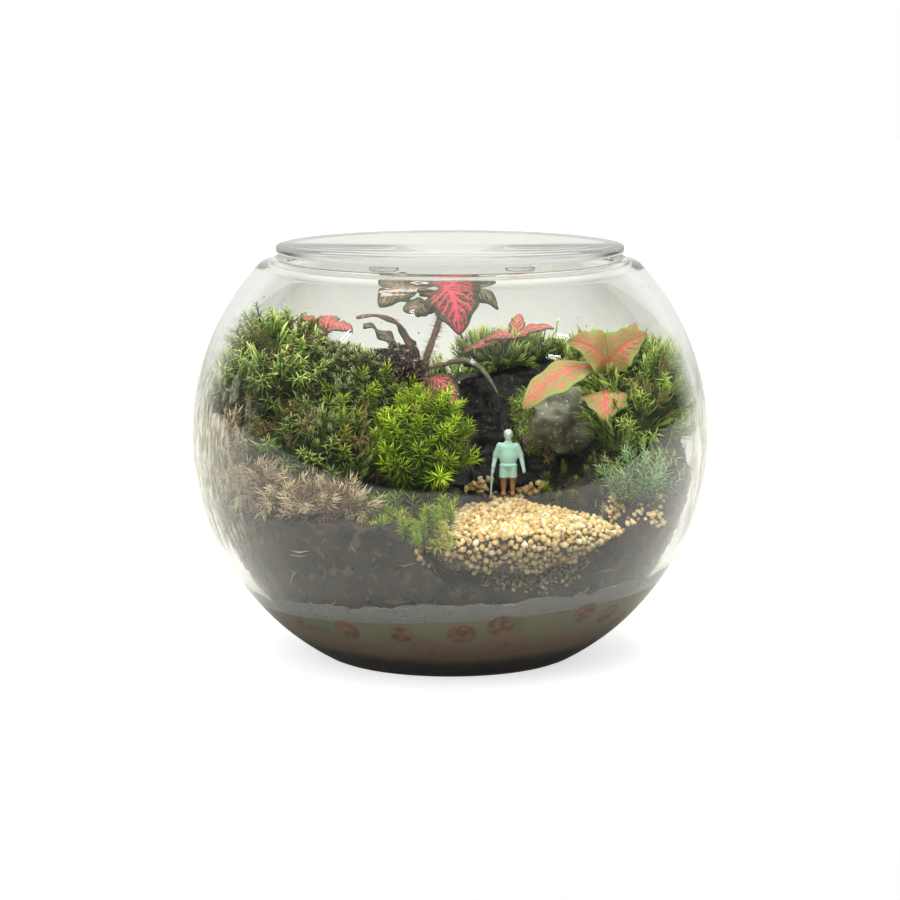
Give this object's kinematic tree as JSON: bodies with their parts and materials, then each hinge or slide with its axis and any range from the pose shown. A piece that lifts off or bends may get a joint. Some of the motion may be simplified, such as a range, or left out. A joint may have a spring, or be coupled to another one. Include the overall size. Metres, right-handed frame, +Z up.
{
  "type": "bowl terrarium",
  "caption": "Round clear bowl with a loose clear lid, planted with moss and nerve plants in soil over clay drainage, with stones, a gravel path and a small walking figure.",
  "frame": {"origin": "middle of the flat underside of the bowl, on the surface it stands on", "axes": "+Z up through the mouth and the lid, +X to the viewer's right, +Y away from the viewer; the gravel path opens towards -Y"},
  "size_m": [0.15, 0.15, 0.12],
  "materials": {
    "clear_glass": "polished",
    "clear_silicone": "satin",
    "fired_clay": "matte",
    "wet_soil": "matte",
    "tan_gravel": "satin",
    "black_stone": "rough",
    "brown_stone": "rough",
    "dry_moss": "matte",
    "mound_moss": "matte",
    "star_moss": "matte",
    "long_moss": "matte",
    "pale_moss": "matte",
    "dark_leaf": "satin",
    "lime_leaf": "satin",
    "pink_leaf": "satin",
    "mint_paint": "matte"
  },
  "bodies": {
    "root": {"glass_bowl": "clear_glass", "lid": "clear_glass", "lid_pad_1": "clear_silicone", "lid_pad_2": "clear_silicone", "lid_pad_3": "clear_silicone", "lid_pad_4": "clear_silicone", "clay_drainage": "fired_clay", "soil": "wet_soil", "gravel_path": "tan_gravel", "dark_rock": "black_stone", "boulder": "brown_stone", "sphagnum_left": "dry_moss", "moss_left": "mound_moss", "moss_star": "star_moss", "moss_right": "long_moss", "moss_back": "long_moss", "moss_rock": "mound_moss", "sprigs_right": "pale_moss", "fittonia_tall": "dark_leaf", "fittonia_right": "lime_leaf", "fittonia_rock": "pink_leaf", "fittonia_left": "pink_leaf", "figurine": "mint_paint"}
  },
  "joints": []
}
